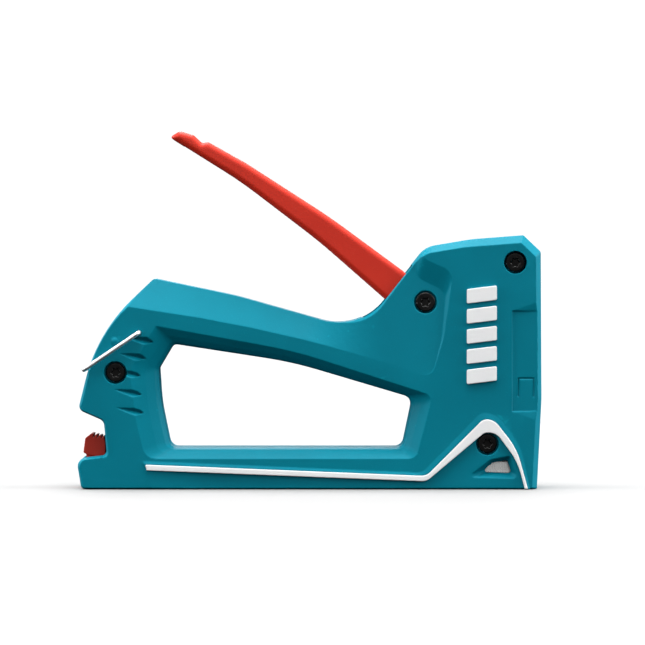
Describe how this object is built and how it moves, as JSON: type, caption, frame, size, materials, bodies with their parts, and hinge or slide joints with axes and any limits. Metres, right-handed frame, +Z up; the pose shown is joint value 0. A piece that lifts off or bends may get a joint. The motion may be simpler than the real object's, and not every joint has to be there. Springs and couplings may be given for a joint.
{
  "type": "staple gun",
  "caption": "Manual staple gun: two-part plastic body with a looped handle, squeeze lever, lifted striker, rear-loading magazine and a wire bail that locks the lever.",
  "frame": {"origin": "centre of the bounding box, on the sole that is pressed to the work", "axes": "+X towards the nose where the staple leaves, +Z up from the sole, +Y to the left of the tool"},
  "size_m": [0.1649, 0.0312, 0.1272],
  "materials": {
    "shell": "fine moulded texture",
    "stripe": "satin",
    "screw": "black oxide",
    "lever_red": "fine moulded texture",
    "knob_red": "moulded",
    "steel": "brushed",
    "zinc_steel": "zinc plated",
    "spring_steel": "drawn wire",
    "staple_steel": "galvanised wire",
    "bail_wire": "bright plated wire",
    "nylon_black": "nylon",
    "rubber": "rubber"
  },
  "bodies": {
    "housing": {"shell_right": "shell", "shell_left": "shell", "trim_stripe_right": "stripe", "trim_stripe_left": "stripe", "badge_right": "stripe", "badge_left": "stripe", "housing_screws": "screw", "pivot_sleeve": "steel", "lever_return_spring": "spring_steel", "main_spring": "spring_steel", "spring_cap": "nylon_black", "buffer": "rubber", "front_plate": "steel", "magazine_channel": "zinc_steel"},
    "lever": {"lever_grip": "lever_red", "lever_arm": "steel", "lever_pins": "steel"},
    "hammer": {"plunger": "steel", "driver_blade": "steel", "blade_rivet": "steel"},
    "magazine": {"staple_rail": "zinc_steel", "guide_rod": "steel", "knob_pin": "steel", "magazine_knob": "knob_red", "staple_strip": "staple_steel", "pusher_spring": "spring_steel"},
    "pusher": {"pusher": "zinc_steel"},
    "bail": {"bail": "bail_wire"}
  },
  "joints": [
    {"name": "lever_pivot", "type": "hinge", "parent": "housing", "child": "lever", "pos_m": [0.0414, 0, 0.0665], "axis": [0, -1, 0], "range_deg": [0, 29.5], "stiffness_Nm_per_rad": 0.6, "springref_deg": -28.65, "deforming": ["lever_return_spring", "main_spring"]},
    {"name": "plunger_slide", "type": "slide", "parent": "housing", "child": "hammer", "axis": [0, 0, 1], "range_m": [0, 0.01477]},
    {"name": "magazine_slide", "type": "slide", "parent": "housing", "child": "magazine", "axis": [-1, 0, 0], "range_m": [0, 0.1]},
    {"name": "pusher_slide", "type": "slide", "parent": "magazine", "child": "pusher", "axis": [-1, 0, 0], "range_m": [0, 0.045], "stiffness_N_per_m": 60, "springref_m": -0.02, "deforming": ["pusher_spring"]},
    {"name": "bail_pivot", "type": "hinge", "parent": "housing", "child": "bail", "pos_m": [-0.0603, 0, 0.0557], "axis": [0, 1, 0], "range_deg": [0, 136.5]}
  ],
  "couplings": [
    {"joint": "plunger_slide", "follows": "lever_pivot", "m_per_rad": 0.02792}
  ]
}
